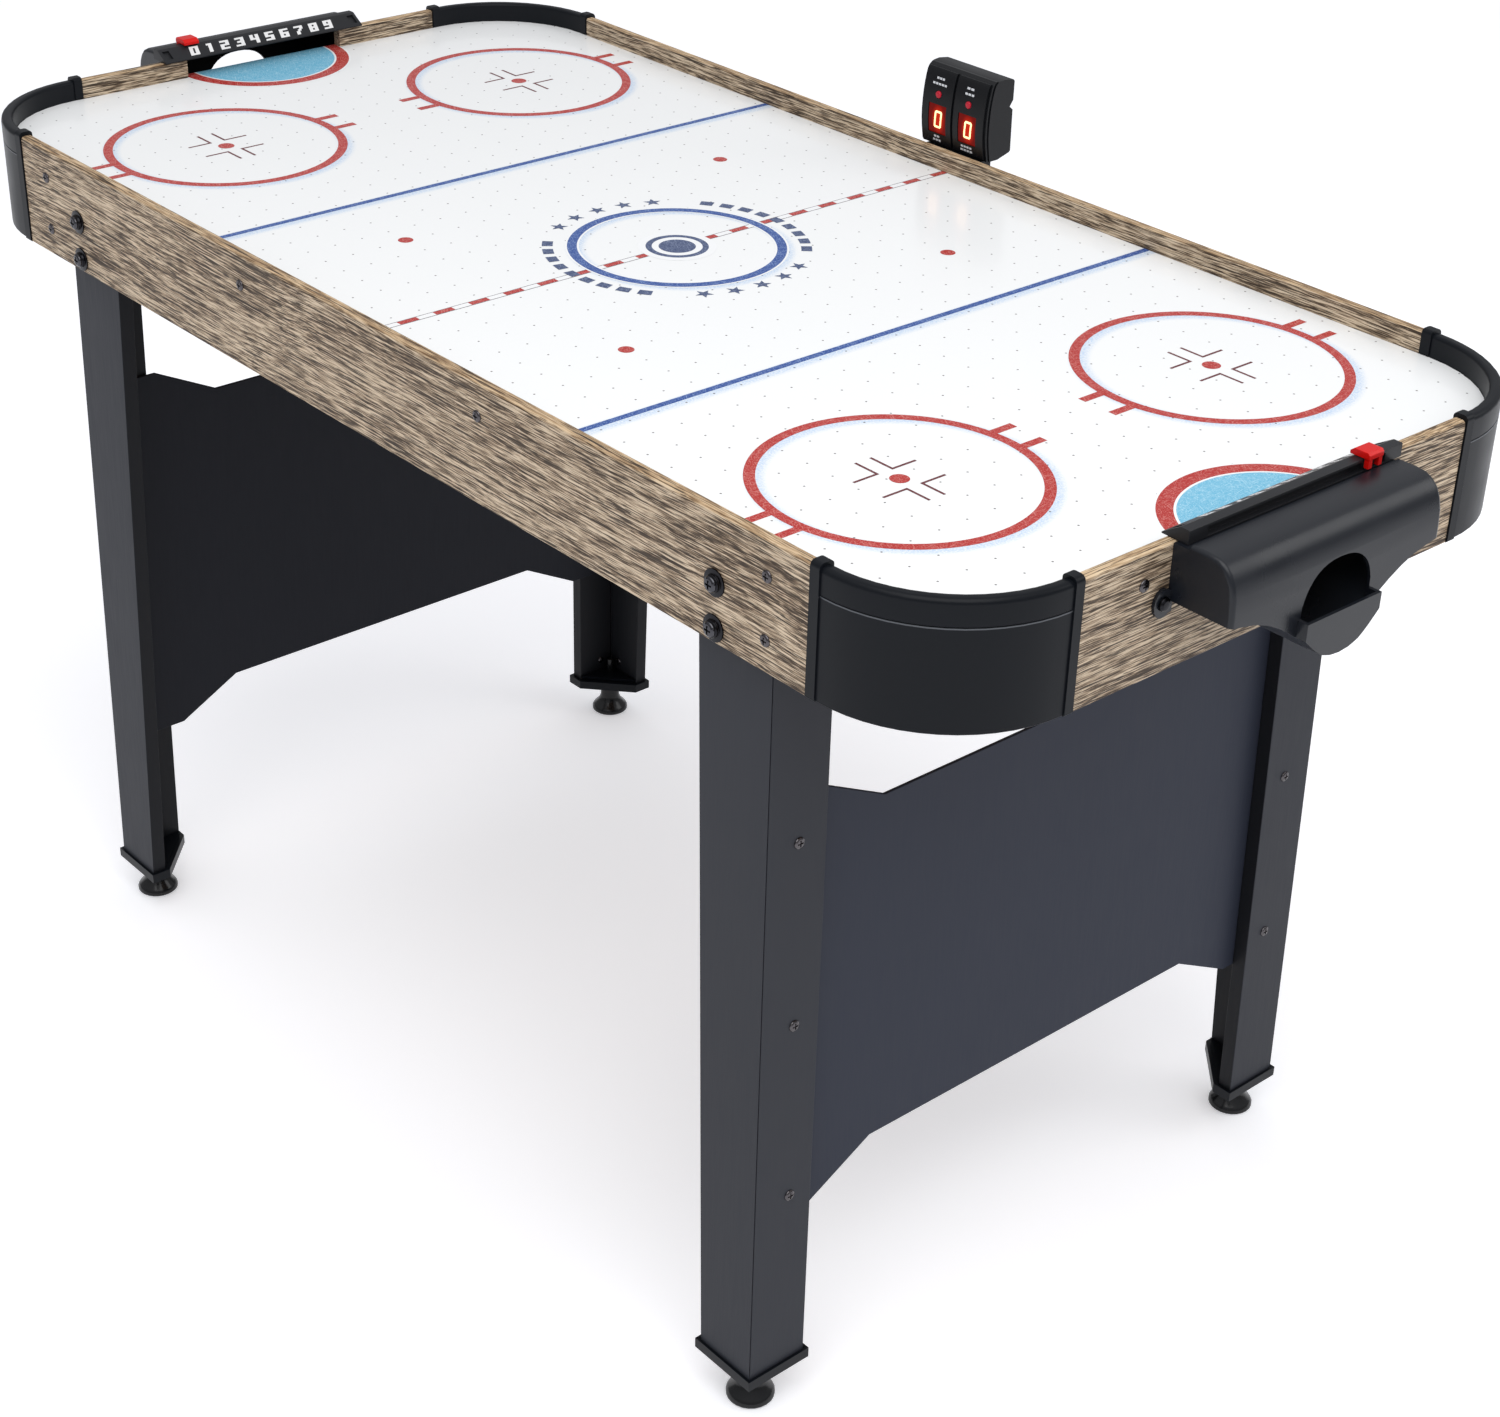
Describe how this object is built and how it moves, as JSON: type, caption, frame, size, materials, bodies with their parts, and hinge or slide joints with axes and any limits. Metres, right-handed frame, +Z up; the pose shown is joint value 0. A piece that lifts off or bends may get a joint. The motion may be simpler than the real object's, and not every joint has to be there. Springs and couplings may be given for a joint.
{
  "type": "air hockey table",
  "caption": "Small air hockey table: perforated playfield in wood-grain rails, goal catchers with sliding scorers, an electronic counter, and legs with leveling feet.",
  "frame": {"origin": "under the centre of the whole table, on the floor", "axes": "+X along the table towards the right-hand goal, +Y across it towards the electronic counter, +Z up"},
  "size_m": [1.507, 0.7248, 0.9008],
  "materials": {
    "playfield_white": "gloss white laminate with printed rink lines",
    "oak_laminate": "driftwood oak grain laminate",
    "black_moulding": "satin black moulding",
    "black_leg_laminate": "satin black laminate on board",
    "black_panel_laminate": "satin black laminate on board",
    "black_foot_plastic": "gloss black plastic",
    "goal_plastic": "satin black moulding",
    "strip_plastic": "fine grained black plastic with white numerals",
    "slider_red": "gloss red plastic",
    "counter_housing_plastic": "fine grained black plastic",
    "counter_cover_plastic": "fine grained black plastic",
    "display_red": "dark red translucent plastic",
    "button_red": "satin red plastic",
    "bracket_plastic": "satin black plastic",
    "circuit_green": "green solder mask",
    "hardboard": "brown hardboard",
    "chipboard": "raw board",
    "blower_plastic": "satin black plastic",
    "impeller_plastic": "satin dark grey plastic",
    "motor_steel": "zinc plated steel",
    "inlet_plastic": "satin black plastic",
    "bolt_black_steel": "black zinc"
  },
  "bodies": {
    "table": {"playfield": "playfield_white", "side_rail_near": "oak_laminate", "side_rail_far": "oak_laminate", "end_rail_left": "oak_laminate", "end_rail_right": "oak_laminate", "corner_cap_left_near": "black_moulding", "corner_cap_left_far": "black_moulding", "corner_cap_right_near": "black_moulding", "corner_cap_right_far": "black_moulding", "leg_side_board_left_near": "black_leg_laminate", "leg_end_board_left_near": "black_leg_laminate", "leg_cap_left_near": "black_moulding", "leg_side_board_left_far": "black_leg_laminate", "leg_end_board_left_far": "black_leg_laminate", "leg_cap_left_far": "black_moulding", "leg_side_board_right_near": "black_leg_laminate", "leg_end_board_right_near": "black_leg_laminate", "leg_cap_right_near": "black_moulding", "leg_side_board_right_far": "black_leg_laminate", "leg_end_board_right_far": "black_leg_laminate", "leg_cap_right_far": "black_moulding", "leg_bolt_left_near_upper": "bolt_black_steel", "leg_bolt_left_near_lower": "bolt_black_steel", "leg_bolt_left_far_upper": "bolt_black_steel", "leg_bolt_left_far_lower": "bolt_black_steel", "leg_bolt_right_near_upper": "bolt_black_steel", "leg_bolt_right_near_lower": "bolt_black_steel", "leg_bolt_right_far_upper": "bolt_black_steel", "leg_bolt_right_far_lower": "bolt_black_steel", "end_panel_left": "black_panel_laminate", "end_panel_right": "black_panel_laminate", "goal_box_left": "goal_plastic", "goal_box_right": "goal_plastic", "score_strip_left": "strip_plastic", "score_strip_right": "strip_plastic", "goal_bolt_left_near": "bolt_black_steel", "goal_bolt_left_far": "bolt_black_steel", "goal_bolt_right_near": "bolt_black_steel", "goal_bolt_right_far": "bolt_black_steel", "counter_front_cover": "counter_cover_plastic", "counter_rear_housing": "counter_housing_plastic", "display_window_left": "display_red", "display_window_right": "display_red", "counter_circuit_board": "circuit_green", "counter_bracket": "bracket_plastic", "plenum_board": "hardboard", "cross_beam_left": "chipboard", "cross_beam_right": "chipboard", "blower_housing": "blower_plastic", "blower_motor": "motor_steel", "power_inlet": "inlet_plastic"},
    "leveler_left_near": {"leveler_left_near": "black_foot_plastic"},
    "leveler_left_far": {"leveler_left_far": "black_foot_plastic"},
    "score_slider_left": {"score_slider_left": "slider_red"},
    "score_button_left": {"score_button_left": "button_red"},
    "leveler_right_near": {"leveler_right_near": "black_foot_plastic"},
    "leveler_right_far": {"leveler_right_far": "black_foot_plastic"},
    "score_slider_right": {"score_slider_right": "slider_red"},
    "score_button_right": {"score_button_right": "button_red"},
    "impeller": {"impeller": "impeller_plastic"}
  },
  "joints": [
    {"name": "leveler_left_near_screw", "type": "slide", "parent": "table", "child": "leveler_left_near", "axis": [0, 0, -1], "range_m": [0, 0.01]},
    {"name": "leveler_left_far_screw", "type": "slide", "parent": "table", "child": "leveler_left_far", "axis": [0, 0, -1], "range_m": [0, 0.01]},
    {"name": "leveler_right_near_screw", "type": "slide", "parent": "table", "child": "leveler_right_near", "axis": [0, 0, -1], "range_m": [0, 0.01]},
    {"name": "leveler_right_far_screw", "type": "slide", "parent": "table", "child": "leveler_right_far", "axis": [0, 0, -1], "range_m": [0, 0.01]},
    {"name": "score_slider_left_slide", "type": "slide", "parent": "table", "child": "score_slider_left", "axis": [0, 1, 0], "range_m": [0, 0.161]},
    {"name": "score_slider_right_slide", "type": "slide", "parent": "table", "child": "score_slider_right", "axis": [0, -1, 0], "range_m": [0, 0.161]},
    {"name": "score_button_left_press", "type": "slide", "parent": "table", "child": "score_button_left", "axis": [0, 1, 0], "range_m": [0, 0.0015], "stiffness_N_per_m": 400},
    {"name": "score_button_right_press", "type": "slide", "parent": "table", "child": "score_button_right", "axis": [0, 1, 0], "range_m": [0, 0.0015], "stiffness_N_per_m": 400},
    {"name": "impeller_spin", "type": "hinge", "parent": "table", "child": "impeller", "pos_m": [0, -0.0156, 0.705], "axis": [0, 0, 1], "continuous": true}
  ]
}
